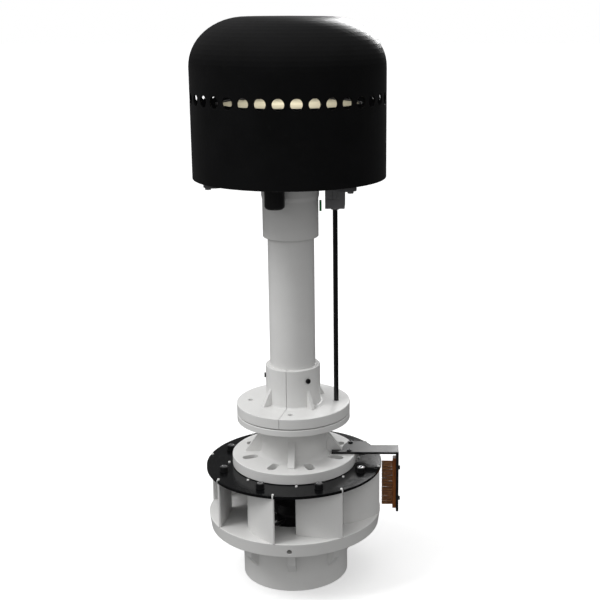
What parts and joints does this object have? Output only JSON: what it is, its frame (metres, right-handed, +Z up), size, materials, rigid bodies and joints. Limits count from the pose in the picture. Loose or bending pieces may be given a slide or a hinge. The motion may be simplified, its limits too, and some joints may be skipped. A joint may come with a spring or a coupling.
{
  "type": "low-head hydro turbine generator",
  "caption": "Vertical low-head propeller turbine generator: domed cover, pipe column, guide vanes with rotating cleaning brush, draft tube socket.",
  "frame": {"origin": "centre of the lower end face of the draft tube socket, on the shaft axis", "axes": "+Z up along the shaft axis, +X towards the cleaning brush arm at rest"},
  "size_m": [0.3995, 0.368, 1.115],
  "materials": {
    "white_pvc": "satin moulded PVC, light grey-white",
    "black_plastic": "smooth black plastic, low gloss",
    "cover_black": "semi-gloss black moulded cover",
    "seal_rubber": "matt black rubber",
    "bright_steel": "bright stainless steel",
    "black_steel": "black oxide",
    "black_coated_steel": "satin black powder coat",
    "cast_aluminium": "machined casting",
    "grey_paint": "satin grey paint",
    "lamination_steel": "varnished laminations",
    "copper": "enamelled copper winding",
    "bell_plastic": "dark moulded rotor bell",
    "fan_board": "tan laminated board closing the rotor",
    "magnet": "coated magnet blocks",
    "runner_plastic": "dark cast runner",
    "green_plastic": "green insulated terminal",
    "natural_nylon": "natural nylon",
    "brush_back_wood": "orange-brown brush back",
    "bristle": "brown stiff bristle"
  },
  "bodies": {
    "frame": {"base_flange": "white_pvc", "throat_liner": "black_plastic", "guide_vane_1": "white_pvc", "guide_vane_2": "white_pvc", "guide_vane_3": "white_pvc", "guide_vane_4": "white_pvc", "guide_vane_5": "white_pvc", "guide_vane_6": "white_pvc", "guide_vane_7": "white_pvc", "guide_vane_8": "white_pvc", "vane_ring": "black_plastic", "vane_spacers": "black_plastic", "vane_screws": "bright_steel", "column_foot": "black_plastic", "foot_bolts": "bright_steel", "flow_guide": "black_plastic", "lower_bearing": "natural_nylon", "shaft_seal": "seal_rubber", "column_pipe": "white_pvc", "clamp_half_left": "white_pvc", "clamp_half_right": "white_pvc", "clamp_screws": "black_steel", "rod_bush": "white_pvc", "column_socket": "white_pvc", "socket_bolts": "bright_steel", "base_plate": "grey_paint", "generator_cover": "cover_black", "cover_bolts": "bright_steel", "bearing_housing": "cast_aluminium", "middle_bearing": "bright_steel", "upper_bearing": "bright_steel", "bearing_cap": "bright_steel", "stator_core": "lamination_steel", "stator_coils": "copper", "rectifier_box": "grey_paint", "gearmotor": "grey_paint", "gearmotor_screws": "bright_steel", "grease_canister": "black_plastic", "earth_terminal": "green_plastic", "cable_gland": "black_plastic"},
    "brush_carrier": {"carrier_hub": "white_pvc", "ring_gear": "natural_nylon", "gear_screws": "bright_steel", "upper_bush": "natural_nylon", "lower_bush": "natural_nylon", "brush_arm": "black_coated_steel", "arm_screws": "bright_steel", "brush_back": "brush_back_wood", "brush_bristles": "bristle", "brush_bolts": "black_steel"},
    "brush_drive": {"drive_rod": "black_steel", "drive_pinion": "natural_nylon"},
    "rotor": {"main_shaft": "bright_steel", "runner": "runner_plastic", "nose_cone": "runner_plastic", "rotor_bell": "bell_plastic", "fan_plate": "fan_board", "rotor_magnets": "magnet", "rotor_nut": "bright_steel"}
  },
  "joints": [
    {"name": "brush_sweep", "type": "hinge", "parent": "frame", "child": "brush_carrier", "pos_m": [0, 0, 0.29], "axis": [0, 0, 1], "continuous": true},
    {"name": "drive_spin", "type": "hinge", "parent": "frame", "child": "brush_drive", "pos_m": [0.086, 0, 0.5], "axis": [0, 0, 1], "continuous": true},
    {"name": "rotor_spin", "type": "hinge", "parent": "frame", "child": "rotor", "pos_m": [0, 0, 0.5], "axis": [0, 0, 1], "continuous": true}
  ],
  "couplings": [
    {"joint": "drive_spin", "follows": "brush_sweep", "ratio": -5.1429}
  ]
}
